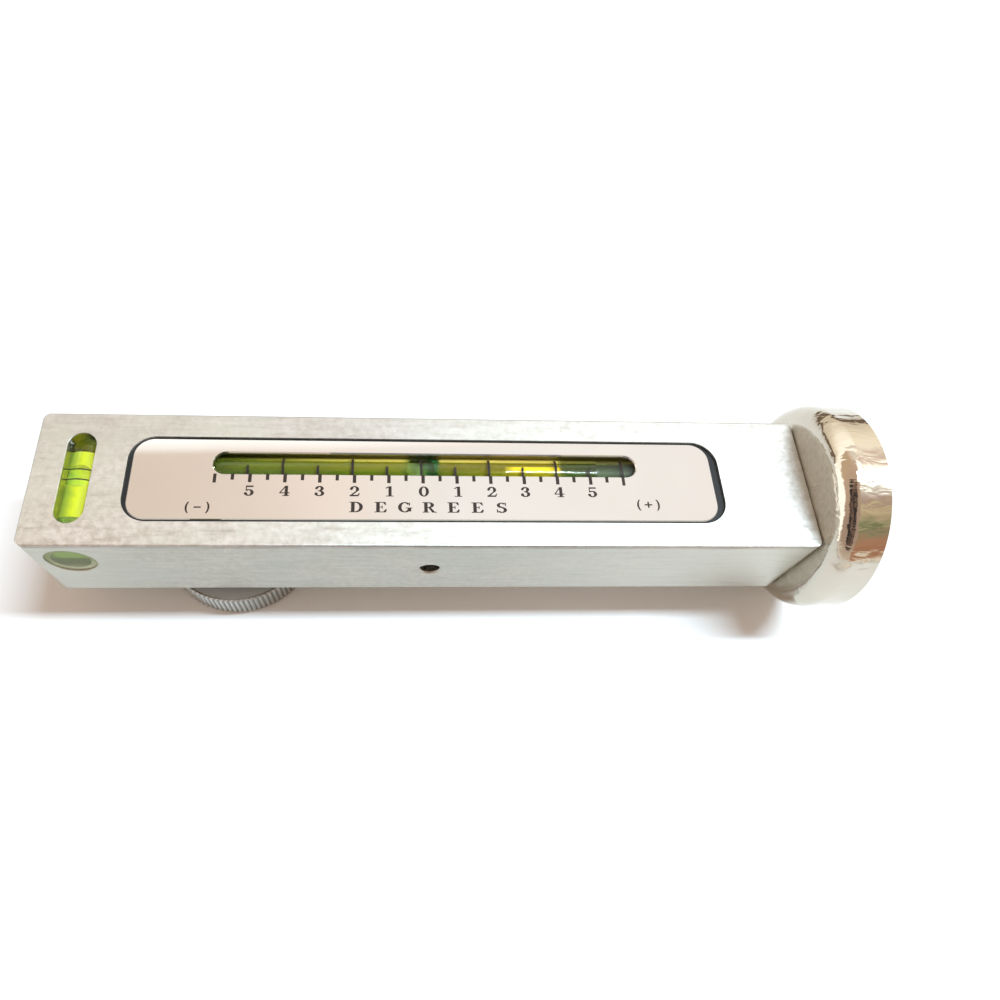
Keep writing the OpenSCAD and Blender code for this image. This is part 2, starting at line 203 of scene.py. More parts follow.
# ---------------------------------------------------------------- metals
def aluminium():
    m = Mat("bare_aluminium", Metallic=1.0)
    x, y, z = m.xyz(m.mm)
    blot = m.noise(m.mm, 0.75, 6, 0.66, 0.2)
    patch = m.noise(m.mm, 0.06, 4, 0.55)
    lines = m.noise(m.scaled(m.mm, (0.09, 1.0, 1.0)), 1.1, 4, 0.65)
    specks = m.noise(m.mm, 1.9, 4, 0.7)
    # painted light and shade on the top: its colour is lighter at the far end and darker towards the magnet, and
    # painted shade darkens its back left
    along = m.span(x, XE + 5, XE + 95, smooth=True)
    tone = m.mix(along, (0.645, 0.637, 0.635), (0.525, 0.525, 0.515))
    back_left_shade = m.math("MULTIPLY", m.span(y, -2.0, 11.0, smooth=True), m.span(x, XE + 125, XE + 60, smooth=True))
    tone = m.mix(back_left_shade, tone, m.mix(along, (0.49, 0.48, 0.465), (0.455, 0.455, 0.45)))
    tone = m.mix(m.span(blot, 0.62, 0.38, 0.0, 1.0), tone, m.mix(0.55, tone, (0.36, 0.345, 0.325), "MIX"))
    tone = m.mix(m.span(patch, 0.42, 0.60, 0.0, 0.5), tone, (0.505, 0.54, 0.495))
    # painted shade on the sides: they get darker colours than the top, as faces turned from the lamp, and lighter ones
    # towards the magnet and near the far end
    side = m.mix(m.span(blot, 0.36, 0.64), (0.378, 0.357, 0.302), (0.487, 0.450, 0.386))
    side = m.mix(m.span(patch, 0.42, 0.62, 0.0, 0.5), side, (0.385, 0.392, 0.345))
    side = m.mix(m.span(x, XE + 85, XE + 145, 0.0, 0.9), side, (0.585, 0.565, 0.495))
    side = m.mix(m.span(x, XE + 22, XE + 4, 0.0, 1.0), side, (0.475, 0.47, 0.405))
    col = m.mix(m.span(z, HZ - 0.4, HZ - 0.15), side, tone)
    # painted reflection: a dark line along the front face just under the top edge
    under = m.math("MULTIPLY", m.span(y, -WY + 0.2, -WY + 0.05), m.math("MULTIPLY", m.span(z, HZ - 1.0, HZ - 0.6), m.span(z, HZ - 0.2, HZ - 0.45)))
    col = m.mix(m.math("MULTIPLY", under, m.span(lines, 0.3, 0.6, 0.75, 0.4)), col, (0.17, 0.165, 0.155))
    col = m.mix(m.span(lines, 0.46, 0.72, 0.0, 0.3), col, (0.62, 0.62, 0.60))
    col = m.mix(m.span(lines, 0.44, 0.26, 0.0, 0.35), col, (0.30, 0.30, 0.285))
    col = m.mix(m.span(specks, 0.62, 0.72, 0.0, 0.5), col, (0.26, 0.255, 0.245))
    col = m.mix(m.span(specks, 0.39, 0.30, 0.0, 0.5), col, (0.72, 0.71, 0.69))
    # painted shade: dark lines along the rounded far edges of the top
    left_edge_shade = m.math("MULTIPLY", m.span(x, XE + 0.45, XE + 0.12), m.span(z, HZ - 1.6, HZ - 1.2, 0.0, 0.65))
    col = m.mix(left_edge_shade, col, (0.20, 0.19, 0.17))
    back_edge_shade = m.math("MULTIPLY", m.span(y, WY - 0.45, WY - 0.12), m.math("MULTIPLY", m.span(z, HZ - 1.6, HZ - 1.2), m.span(x, XE + 120, XE + 90, 0.1, 0.5)))
    col = m.mix(back_edge_shade, col, (0.24, 0.23, 0.21))
    rough = m.math("ADD", m.span(blot, 0.3, 0.7, 0.35, 0.43), m.span(lines, 0.3, 0.7, -0.03, 0.04))
    # the milled windows are smoother inside
    inside = m.math("MULTIPLY", m.span(z, HZ - 0.25, HZ - 0.4),
                    m.math("MULTIPLY", m.span(x, XE + 1.0, XE + 1.2), m.span(x, XE + 15.0, XE + 14.8)))
    inside = m.math("MULTIPLY", inside, m.math("MULTIPLY", m.span(y, -12.6, -12.4), m.span(y, 12.6, 12.4)))
    rough = m.math("SUBTRACT", rough, m.math("MULTIPLY", inside, 0.2))
    fine = m.noise(m.scaled(m.mm, (0.10, 1.0, 1.0)), 6.0, 3, 0.6)
    h = m.math("ADD", m.math("MULTIPLY", fine, 0.3), m.math("MULTIPLY", blot, 0.7))
    h = m.math("ADD", h, m.span(specks, 0.62, 0.72, 0.0, -0.5))
    return m.set(Base_Color=col, Roughness=rough, Normal=m.bump(h, 0.3, 0.00006))


def plate_metal():
    """Polished sheet under a thin haze, so that it is partly a mirror and partly pale."""
    m = Mat("polished_plate", Metallic=0.75)
    cloud = m.noise(m.mm, 0.08, 3, 0.5)
    hair = m.noise(m.scaled(m.mm, (0.03, 1.0, 1.0)), 9.0, 3, 0.6)
    col = m.mix(m.span(cloud, 0.35, 0.65), (0.685, 0.665, 0.65), (0.70, 0.685, 0.67))
    x, y, z = m.xyz(m.mm)
    # painted shade darkens the cut edge at the window's end
    window_end_shade = m.math("MULTIPLY", m.span(z, HZ - 0.42, HZ - 0.45), m.math("MULTIPLY", m.span(x, XE + 30.0, XE + 30.2), m.span(x, XE + 36.0, XE + 35.5)))
    col = m.mix(m.math("MULTIPLY", window_end_shade, m.span(z, 0.0, 1.0, 0.0, 0.9)), col, (0.09, 0.10, 0.035))
    rough = m.math("ADD", m.span(hair, 0.3, 0.7, 0.01, 0.03), m.span(cloud, 0.4, 0.7, 0.0, 0.01))
    wave = m.noise(m.scaled(m.mm, (0.5, 1.0, 1.0)), 0.05, 1, 0.3)
    n1 = m.bump(wave, 0.07, 0.0004)
    n2 = m.bump(hair, 0.02, 0.00001, n1)
    return m.set(Base_Color=col, Roughness=rough, Normal=n2)


def nickel(name, base, dull, rough, peel):
    m = Mat(name, Metallic=1.0)
    x = m.xyz(m.mm)[0]
    cloud = m.noise(m.mm, 0.12, 3, 0.5)
    fine = m.noise(m.mm, 2.4, 3, 0.6)
    col = m.mix(m.span(cloud, 0.35, 0.65), base, tuple(c * 0.95 for c in base))
    r = m.math("ADD", rough, m.span(fine, 0.35, 0.7, 0.0, 0.05))
    if dull:
        back = m.span(x, -9.50, -9.57)
        spots = m.span(m.noise(m.mm, 0.9, 4, 0.6), 0.4, 0.7)
        col = m.mix(back, col, m.mix(spots, dull, tuple(c * 0.86 for c in dull)))
        r = m.math("ADD", r, m.math("MULTIPLY", back, 0.30))
    ripple = m.noise(m.scaled(m.mm, (0.55, 1.0, 1.0)), 0.42, 2, 0.45, 0.6)
    n1 = m.bump(ripple, peel, 0.0004)
    n2 = m.bump(fine, 0.06, 0.00004, n1)
    return m.set(Base_Color=col, Roughness=r, Normal=n2)


def turned_metal(name, base, rough=0.25, axis=2, pitch=5.0):
    """Metal with faint tool marks round one axis."""
    m = Mat(name, Metallic=1.0)
    sq = [0.04, 0.04, 0.04]
    sq[axis] = 1.0
    rings = m.noise(m.scaled(m.mm, tuple(sq)), pitch, 3, 0.6)
    stain = m.noise(m.mm, 0.5, 4, 0.55)
    col = m.mix(m.span(stain, 0.35, 0.68), tuple(c * 0.84 for c in base), base)
    r = m.math("ADD", rough, m.span(rings, 0.35, 0.65, -0.04, 0.08))
    return m.set(Base_Color=col, Roughness=r, Normal=m.bump(rings, 0.25, 0.00005))


def ribbed_nickel(base):
    """Satin plate on the knob: rougher between the ribs, with painted shade darkening the valleys, and bright on their
    crests.
    """
    m = Mat("satin_nickel", Metallic=0.8)
    x, y, z = m.xyz(m.mm)
    dx = m.math("SUBTRACT", x, XE + KNOB_X)
    dist = m.math("SQRT", m.math("ADD", m.math("MULTIPLY", dx, dx), m.math("MULTIPLY", y, y)))
    stain = m.noise(m.mm, 0.6, 4, 0.55)
    fine = m.noise(m.mm, 5.0, 3, 0.6)
    col = m.mix(m.span(stain, 0.35, 0.68), tuple(c * 0.86 for c in base), base)
    # painted shade: the valleys between the ribs are darkened, and made rougher
    valley_shade_and_dull = m.math("MULTIPLY", m.span(dist, KNOB_R - 0.1, KNOB_R - 0.35), m.span(dist, KNOB_R - 1.2, KNOB_R - 1.0))
    valley_shade_and_dull = m.math("MULTIPLY", valley_shade_and_dull, m.span(z, -14.15, -14.3))
    col = m.mix(m.math("MULTIPLY", valley_shade_and_dull, 0.75), col, (0.15, 0.143, 0.125))
    r = m.math("ADD", m.span(fine, 0.3, 0.7, 0.22, 0.34), m.math("MULTIPLY", valley_shade_and_dull, 0.2))
    # the flat top is turned and unplated, so it is matt
    top = m.math("MULTIPLY", m.span(z, -14.3, -14.15), m.span(dist, KNOB_R - 0.5, KNOB_R - 0.9))
    col = m.mix(top, col, (0.51, 0.555, 0.565))
    r = m.math("ADD", r, m.math("MULTIPLY", top, 0.3))
    metal = m.span(top, 0.0, 1.0, 0.8, 0.1)
    return m.set(Base_Color=col, Roughness=r, Metallic=metal, Normal=m.bump(fine, 0.2, 0.00004))


def sintered(name, base):
    m = Mat(name, Metallic=0.6)
    grain = m.noise(m.mm, 3.2, 5, 0.7)
    chips = m.cells(m.mm, 1.1)
    col = m.mix(m.span(grain, 0.35, 0.7), tuple(c * 0.6 for c in base), tuple(min(1, c * 1.35) for c in base))
    r = m.span(grain, 0.3, 0.7, 0.42, 0.62)
    h = m.math("ADD", grain, m.math("MULTIPLY", chips, 0.3))
    return m.set(Base_Color=col, Roughness=r, Normal=m.bump(h, 0.4, 0.00006))


# ---------------------------------------------------------------- plastics and liquids
def plastic(name, base, rough=0.45, grain=2.0, depth=0.00004, **more):
    m = Mat(name, **more)
    g = m.noise(m.mm, grain, 4, 0.6)
    cloud = m.noise(m.mm, 0.15, 3, 0.5)
    col = m.mix(m.span(cloud, 0.35, 0.65), tuple(c * 0.86 for c in base), base)
    r = m.span(g, 0.3, 0.7, rough - 0.06, rough + 0.07)
    return m.set(Base_Color=col, Roughness=r, Normal=m.bump(g, 0.25, depth))


def clear_tube(name, tint, frost_below=None, ior=1.49, rough=0.02):
    """Cast tube: it bends what is seen through it, and lamps shine through it."""
    m = Mat(name, Transmission_Weight=1.0, IOR=ior)
    streak = m.noise(m.scaled(m.mm, (0.12, 1.0, 1.0)), 0.8, 3, 0.5)
    col = m.mix(m.span(streak, 0.35, 0.65), tint, tuple(min(1.0, c * 1.04) for c in tint))
    if frost_below is None:
        x = m.xyz(m.mm)[0]
        m.set(Base_Color=col, Roughness=m.math("ADD", rough, m.span(x, XE + 107.4, XE + 108.6, 0.0, 0.60)))
    else:
        y = m.xyz(m.mm)[1]
        end = m.span(y, frost_below + 0.05, frost_below)
        m.set(Base_Color=col, Roughness=rough)
    mix = m.node("ShaderNodeMixShader")
    see = m.node("ShaderNodeBsdfTransparent")
    see.inputs[0].default_value = (*tint, 1.0)
    lp = m.node("ShaderNodeLightPath")
    m.put(mix.inputs[0], lp.outputs["Is Shadow Ray"])
    m.put(mix.inputs[1], m.b.outputs[0])
    m.put(mix.inputs[2], see.outputs[0])
    last = mix
    if frost_below is not None:
        # the sawn end is frosted and shows pale green
        z = m.xyz(m.mm)[2]
        frost = m.node("ShaderNodeBsdfPrincipled")
        grain = m.noise(m.mm, 2.2, 4, 0.6)
        pale = m.mix(m.span(z, LEV_Z + 1.0, LEV_Z - 4.0, smooth=True), (0.24, 0.29, 0.125), (0.52, 0.54, 0.37))
        m.put(frost.inputs["Base Color"], m.mix(m.span(grain, 0.35, 0.65, 0.0, 0.4), pale, (0.20, 0.24, 0.10)))
        m.put(frost.inputs["Roughness"], m.span(grain, 0.3, 0.7, 0.45, 0.6))
        last = m.node("ShaderNodeMixShader")
        m.put(last.inputs[0], end)
        m.put(last.inputs[1], mix.outputs[0])
        m.put(last.inputs[2], frost.outputs[0])
    m.put(m.out.inputs["Surface"], last.outputs[0])
    return m


def camber_liquid():
    """Dyed liquid painted with light and shade: dull green at the ends, painted yellow light where the lamp's light
    gathers, dark round the bubble, and a painted glow though it is no lamp.
    """
    m = Mat("camber_liquid", Specular_IOR_Level=0.05)
    x, y, z = m.xyz(m.mm)
    wob = m.math("ADD", x, m.math("MULTIPLY", m.math("SUBTRACT", m.noise(m.mm, 0.5, 2), 0.5), 3.0))
    t = m.span(wob, XE + 30, XE + 120)

    def at(bar_x):
        return (bar_x - 30) / 90

    # the ramps along the tube carry painted light and shade, with separate ramps for the upper and lower rows
    top = m.ramp(t, [
        (at(33), (0.037, 0.046, 0.006)), (at(40), (0.073, 0.086, 0.005)), (at(54), (0.100, 0.097, 0.004)),
        (at(66), (0.125, 0.106, 0.003)), (at(69.6), (0.115, 0.106, 0.004)), (at(70.8), (0.072, 0.095, 0.018)),
        (at(73.2), (0.055, 0.090, 0.028)), (at(74.2), (0.014, 0.065, 0.022)), (at(76.4), (0.014, 0.065, 0.022)),
        (at(77.2), (0.108, 0.088, 0.003)), (at(85), (0.118, 0.088, 0.002)), (at(95), (0.132, 0.094, 0.001)),
        (at(100.2), (0.140, 0.097, 0.001)), (at(101.6), (0.030, 0.036, 0.006)), (at(111), (0.017, 0.022, 0.008)),
        (at(115), (0.015, 0.018, 0.010))])
    low = m.ramp(t, [
        (at(33), (0.038, 0.050, 0.008)), (at(44), (0.054, 0.078, 0.008)), (at(60), (0.060, 0.083, 0.005)),
        (at(69), (0.084, 0.094, 0.004)), (at(71.0), (0.022, 0.040, 0.010)), (at(74.0), (0.005, 0.038, 0.008)),
        (at(76.4), (0.005, 0.036, 0.008)), (at(77.2), (0.076, 0.090, 0.004)), (at(84), (0.102, 0.100, 0.003)),
        (at(89), (0.118, 0.108, 0.003)), (at(91), (0.170, 0.145, 0.004)), (at(100.2), (0.175, 0.148, 0.004)),
        (at(101.6), (0.032, 0.055, 0.007)), (at(115), (0.020, 0.028, 0.012))])
    side = m.span(y, SLOT_Y - 1.0, SLOT_Y + 0.3, smooth=True)
    col = m.mix(side, low, top)
    # painted pool of lamp light: a bright yellow patch across the middle of the window
    patch = m.math("MULTIPLY", m.span(y, SLOT_Y - 0.75, SLOT_Y - 0.45, smooth=True), m.span(y, SLOT_Y + 0.75, SLOT_Y + 0.35, smooth=True))
    patch = m.math("MULTIPLY", patch, m.math("MULTIPLY", m.span(wob, XE + 89.5, XE + 91.5), m.span(wob, XE + 101.2, XE + 99.8)))
    col = m.mix(patch, col, (0.62, 0.43, 0.012))
    # painted light along the far edge of the window, lifting the shade under the plate's edge
    band = m.span(y, SLOT_Y + 1.3, SLOT_Y + 1.8, smooth=True)
    clear = m.math("SUBTRACT", 1.0, m.math("MULTIPLY", m.span(wob, XE + 69.5, XE + 70.8), m.span(wob, XE + 77.2, XE + 76.4)))
    band = m.math("MULTIPLY", band, m.math("MULTIPLY", clear, m.span(wob, XE + 101.6, XE + 100.0, 0.22, 1.0)))
    rim_light = m.math("MULTIPLY", band, m.span(wob, XE + 34, XE + 64, 0.03, 0.62, smooth=True))
    col = m.mix(rim_light, col, (0.80, 0.62, 0.16))
    # painted light gathering towards the middle of the far edge, added as glow
    gathered_light = m.math("MULTIPLY", band, m.span(wob, XE + 54, XE + 84, 0.0, 1.0, smooth=True))
    swirl = m.noise(m.scaled(m.mm, (0.12, 1.0, 1.0)), 0.9, 4, 0.6, 0.8)
    col = m.mix(m.span(swirl, 0.42, 0.7, 0.0, 0.35), col, m.mix(0.5, col, (0.04, 0.10, 0.01), "MIX"))
    r = m.span(swirl, 0.3, 0.7, 0.12, 0.3)
    # painted glow: emission that lights the liquid though it is no lamp
    painted_glow = m.mix(gathered_light, col, (0.72, 0.55, 0.16), "ADD")
    m.set(Base_Color=col, Roughness=r, Emission_Color=painted_glow, Emission_Strength=0.30)
    return m


def window_plug():
    """Clear green plug in the round front window, painted with what is seen through it: painted light above, where the
    level's liquid shows, painted shade below.
    """
    m = Mat("window_plug", Specular_IOR_Level=0.15)
    x, y, z = m.xyz(m.mm)
    wob = m.math("MULTIPLY_ADD", m.math("SUBTRACT", m.noise(m.mm, 0.9, 3), 0.5), 0.9, z)
    col = m.ramp(m.span(wob, LEV_Z - 3.5, LEV_Z + 3.5), [
        (0.0, (0.20, 0.22, 0.09)), (0.14, (0.15, 0.17, 0.05)), (0.24, (0.09, 0.11, 0.02)), (0.56, (0.095, 0.125, 0.014)),
        (0.66, (0.19, 0.30, 0.05)), (0.9, (0.21, 0.34, 0.06)), (1.0, (0.23, 0.32, 0.08))])
    # painted shade towards the left of the window
    col = m.mix(m.span(x, LEV_X - 1.6, LEV_X - 3.0, 0.0, 0.75, smooth=True), col, (0.085, 0.11, 0.028))
    fine = m.noise(m.mm, 4.0, 3, 0.6)
    return m.set(Base_Color=col, Roughness=m.span(fine, 0.3, 0.7, 0.10, 0.18), Normal=m.bump(fine, 0.1, 0.00003))


def plain_liquid(name, left, right, axis, lo, hi, painted_glow=0.25):
    m = Mat(name, Specular_IOR_Level=0.2)
    c = m.xyz(m.mm)[axis]
    swirl = m.noise(m.mm, 0.45, 4, 0.55, 0.6)
    # painted light: the colour runs from dark on the left to bright on the right, as lit from the right, and the
    # emission adds a painted glow
    t = m.math("ADD", m.span(c, lo, hi), m.math("MULTIPLY", m.math("SUBTRACT", swirl, 0.5), 0.5), clamp=True)
    mid = tuple((a + b) / 2 for a, b in zip(left, right))
    col = m.ramp(t, [(0.0, left), (0.35, mid), (0.6, right), (1.0, tuple(v * 0.92 for v in right))])
    r = m.span(swirl, 0.3, 0.7, 0.12, 0.3)
    return m.set(Base_Color=col, Roughness=r, Emission_Color=col, Emission_Strength=painted_glow)


def ink(name="black_ink"):
    m = Mat(name, Specular_IOR_Level=0.16)
    g = m.noise(m.mm, 6.0, 4, 0.65)
    col = m.mix(m.span(g, 0.35, 0.7), (0.016, 0.011, 0.009), (0.050, 0.036, 0.028))
    return m.set(Base_Color=col, Roughness=m.span(g, 0.3, 0.7, 0.4, 0.6), Normal=m.bump(g, 0.2, 0.00002))


# ---------------------------------------------------------------- printed marks
def seg(x0, y0, x1, y1, t):
    d = Vector((x1 - x0, y1 - y0)).normalized() * (t / 2)
    return [(x0 - d.y, y0 + d.x), (x0 + d.y, y0 - d.x), (x1 + d.y, y1 - d.x), (x1 - d.y, y1 + d.x)]


def rect(x0, y0, x1, y1):
    return [(x0, y0), (x1, y0), (x1, y1), (x0, y1)]


def disc(cx, cy, r, n=16):
    return [(cx + r * math.cos(2 * math.pi * i / n), cy + r * math.sin(2 * math.pi * i / n)) for i in range(n)]


def bow(cx, cy, rx, ry, side, thin, a0, a1, n=22):
    """Part of an oval stroke, thick at its sides and thin at its top and bottom."""
    angles = [math.radians(a0 + (a1 - a0) * i / n) for i in range(n + 1)]
    outer = [(cx + rx * math.cos(a), cy + ry * math.sin(a)) for a in angles]
    inner = [(cx + (rx - side) * math.cos(a), cy + (ry - thin) * math.sin(a)) for a in reversed(angles)]
    return outer + inner


def oval(cx, cy, rx, ry, side, thin):
    return [bow(cx, cy, rx, ry, side, thin, 0, 182), bow(cx, cy, rx, ry, side, thin, 180, 362)]


T, H = 0.225, 0.095     # thick and thin strokes, as shares of a figure's height
GLYPHS = {
    "0": (0.74, oval(0.37, 0.5, 0.37, 0.5, T, H)),
    "1": (0.52, [rect(0.19, 0, 0.19 + T, 1.0), seg(0.24, 0.96, 0.0, 0.80, 0.09), rect(0.0, 0, 0.56, 0.07)]),
    "2": (0.72, [bow(0.34, 0.69, 0.33, 0.31, T, H, -38, 165), disc(0.115, 0.72, 0.105),
                 [(0.635, 0.58), (0.44, 0.52), (0.0, 0.07), (0.0, 0.0), (0.12, 0.0)],
                 rect(0.0, 0, 0.64, 0.14), [(0.56, 0.10), (0.68, 0.10), (0.72, 0.32), (0.66, 0.32)]]),
    "3": (0.70, [bow(0.32, 0.745, 0.30, 0.255, T, H, -92, 160), bow(0.31, 0.275, 0.36, 0.275, T, H, -165, 92),
                 disc(0.105, 0.77, 0.10), disc(0.095, 0.25, 0.11), rect(0.20, 0.485, 0.40, 0.555)]),
    "4": (0.74, [seg(0.44, 0.985, 0.03, 0.31, 0.085), rect(0.0, 0.26, 0.74, 0.345), rect(0.37, 0, 0.37 + T, 1.0),
                 rect(0.22, 0, 0.70, 0.07)]),
    "5": (0.70, [rect(0.09, 0.86, 0.62, 1.0), rect(0.09, 0.50, 0.16, 1.0),
                 bow(0.32, 0.325, 0.35, 0.325, T, H, -165, 135), disc(0.10, 0.24, 0.11)]),
    "6": (0.74, oval(0.38, 0.31, 0.36, 0.31, T, H) + [bow(0.46, 0.47, 0.44, 0.53, T, H, 75, 205),
                                                     disc(0.60, 0.84, 0.095)]),
    "8": (0.74, oval(0.37, 0.745, 0.30, 0.255, T * 0.92, H) + oval(0.37, 0.275, 0.37, 0.275, T, H)),
    "D": (0.88, [rect(0.11, 0, 0.11 + T, 1.0), rect(0.0, 0, 0.42, 0.07), rect(0.0, 0.93, 0.42, 1.0),
                 bow(0.40, 0.5, 0.46, 0.5, T, H, -92, 92)]),
    "E": (0.80, [rect(0.11, 0, 0.11 + T, 1.0), rect(0.0, 0, 0.72, 0.07), rect(0.0, 0.93, 0.70, 1.0),
                 rect(0.2, 0.475, 0.52, 0.54), rect(0.46, 0.37, 0.52, 0.65),
                 [(0.56, 0.07), (0.76, 0.07), (0.78, 0.31), (0.71, 0.31)],
                 [(0.55, 0.93), (0.69, 0.70), (0.74, 0.70), (0.72, 0.93)]]),
    "G": (0.92, [bow(0.43, 0.5, 0.43, 0.5, T, H, 38, 326), rect(0.62, 0.10, 0.62 + T, 0.43),
                 rect(0.50, 0.40, 0.92, 0.47), [(0.70, 0.66), (0.77, 0.66), (0.77, 0.98), (0.70, 0.90)]]),
    "R": (0.90, [rect(0.11, 0, 0.11 + T, 1.0), rect(0.0, 0, 0.41, 0.07), rect(0.0, 0.93, 0.44, 1.0),
                 bow(0.42, 0.73, 0.33, 0.27, T, H, -92, 92), rect(0.2, 0.46, 0.44, 0.53),
                 [(0.36, 0.50), (0.52, 0.50), (0.84, 0.0), (0.62, 0.0)], rect(0.60, 0, 0.92, 0.07)]),
    "S": (0.70, [bow(0.35, 0.735, 0.31, 0.265, T * 0.9, H, 28, 252), bow(0.35, 0.275, 0.34, 0.275, T * 0.95, H, -150, 72),
                 [(0.07, 0.66), (0.20, 0.55), (0.56, 0.36), (0.66, 0.33), (0.64, 0.45), (0.48, 0.55), (0.16, 0.70)],
                 rect(0.57, 0.68, 0.64, 0.98), rect(0.03, 0.02, 0.10, 0.34)]),
    "-": (0.62, [rect(0.04, 0.44, 0.58, 0.57)]),
    "+": (0.66, [rect(0.02, 0.44, 0.64, 0.57), rect(0.265, 0.20, 0.395, 0.81)]),
    "(": (0.40, [bow(0.52, 0.47, 0.42, 0.66, 0.15, 0.04, 118, 242)]),
    ")": (0.40, [bow(-0.12, 0.47, 0.42, 0.66, 0.15, 0.04, -62, 62)]),
}


class Print:
    """Thin raised marks on one flat face. place turns the mark's plane (mm) into the object's frame (mm)."""

    def __init__(self, name, place):
        self.name, self.place, self.bm = name, place, bmesh.new()

    def shape(self, polys, height=0.02):
        verts, faces = [], []
        for p in polys:
            area = sum(a[0] * b[1] - b[0] * a[1] for a, b in zip(p, p[1:] + p[:1]))
            p = p if area > 0 else p[::-1]
            faces.append(list(range(len(verts), len(verts) + len(p))))
            verts += [Vector(q) for q in p]
        vo, _, fo, _, _, of = delaunay_2d_cdt(verts, [], faces, 1, 1e-5)
        fo = [f for f, src in zip(fo, of) if src]
        low = [self.bm.verts.new([c * MM for c in self.place(v.x, v.y, -0.015)]) for v in vo]
        top = [self.bm.verts.new([c * MM for c in self.place(v.x, v.y, height)]) for v in vo]
        edges = {}
        for f in fo:
            for a, b in zip(f, f[1:] + f[:1]):
                edges[(a, b)] = True
        for f in fo:
            self.bm.faces.new([top[i] for i in f])
            self.bm.faces.new([low[i] for i in reversed(f)])
        for a, b in edges:
            if (b, a) not in edges:
                self.bm.faces.new([low[a], low[b], top[b], top[a]])

    def glyph(self, ch, x, y, height, wide=1.0, centred=True):
        w, polys = GLYPHS[ch]
        x0 = x - w * height * wide / 2 if centred else x
        self.shape([[(x0 + px * height * wide, y + py * height) for px, py in p] for p in polys])
        return w * height * wide

    def word(self, text, x, y, height, pitch, wide=1.0):
        for i, ch in enumerate(text):
            self.glyph(ch, x + (i - (len(text) - 1) / 2) * pitch, y, height, wide)

    def finish(self, mat):
        loose = [v for v in self.bm.verts if not v.link_faces]
        bmesh.ops.delete(self.bm, geom=loose, context="VERTS")
        bmesh.ops.recalc_face_normals(self.bm, faces=self.bm.faces)
        me = bpy.data.meshes.new(self.name)
        self.bm.to_mesh(me)
        self.bm.free()
        ob = bpy.data.objects.new(self.name, me)
        bpy.context.scene.collection.objects.link(ob)
        me.materials.append(mat.m)
        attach(ob, "housing")
        return ob


def camber_print(mat):
    top = HZ - 0.4
    p = Print("camber_scale_print", lambda x, y, h: (XE + x, y - WY, top + h))
    zero, step = 72.92, 6.577
    for i in range(-12, 13):
        x = zero + 0.28 + i * step / 2
        if abs(i) == 12:
            p.shape([rect(x - 0.30, 13.45, x + 0.30, 15.40)])
        elif i % 2 == 0:
            p.shape([rect(x - 0.33, 13.60, x + 0.33, 15.42)])
        else:
            p.shape([rect(x - 0.31, 14.10, x + 0.31, 15.34)])
    for n in range(-5, 6):
        p.glyph(str(abs(n)), zero + 0.38 + n * step, 10.72 + 0.015 * n, 2.2, 1.2)
    p.word("DEGREES", 74.3, 7.3, 2.2, 4.6, 1.34)
    for text, x, y in (("(-)", 31.2, 7.15), ("(+)", 116.9, 8.15)):
        p.word(text, x, y, 2.1, 2.0, 1.15)
    return p.finish(mat)


def caster_print(mat):
    low = -(HZ - 0.4)
    mid = CAS_Y
    p = Print("caster_scale_print", lambda x, y, h: (PIV_X + x, mid - y, low - h))
    for i in range(-16, 17):
        x = i * 1.1
        if i % 4 == 0:
            p.shape([rect(x - 0.24, -4.1, x + 0.24, -2.42)])
        elif i % 2 == 0:
            p.shape([rect(x - 0.2, -3.7, x + 0.2, -2.5)])
        else:
            p.shape([rect(x - 0.15, -3.3, x + 0.15, -2.5)])
    for n in (-8, -6, -4, -2, 0, 2, 4, 6, 8):
        p.glyph(str(abs(n)), n * 2.2, -7.1, 2.2, 1.1)
    p.word("DEGREES", 0.0, -10.45, 2.1, 4.2, 1.25)
    for text, x in (("(-)", -17.0), ("(+)", 30.0)):
        p.word(text, x, -10.5 if text == "(-)" else -7.0, 2.0, 1.95, 1.15)
    return p.finish(mat)


def arc_band(name, mat, spots, axis_point, radius, width, along, around, thick=0.03, slot="vial_tube"):
    """Printed rings on a tube. spots: (place along the tube, first angle, last angle). Angles turn from `around[0]` to `around[1]`."""
    bm = bmesh.new()
    a_dir, u, v = Vector(along), Vector(around[0]), Vector(around[1])
    c = Vector(axis_point)
    for s, a0, a1 in spots:
        n = max(4, int(abs(a1 - a0) / 5))
        rows = []
        for i in range(n + 1):
            a = math.radians(a0 + (a1 - a0) * i / n)
            d = u * math.cos(a) + v * math.sin(a)
            rows.append([bm.verts.new((c + a_dir * (s + w) + d * r) * MM)
                         for w, r in ((-width / 2, radius - 0.01), (width / 2, radius - 0.01),
                                      (width / 2, radius + thick), (-width / 2, radius + thick))])
        for p, q in zip(rows, rows[1:]):
            for k in range(4):
                bm.faces.new((p[k], p[(k + 1) % 4], q[(k + 1) % 4], q[k]))
        bm.faces.new(rows[0][::-1])
        bm.faces.new(rows[-1])
    bmesh.ops.recalc_face_normals(bm, faces=bm.faces)
    me = bpy.data.meshes.new(name)
    bm.to_mesh(me)
    bm.free()
    ob = bpy.data.objects.new(name, me)
    bpy.context.scene.collection.objects.link(ob)
    me.materials.append(mat.m)
    return ob


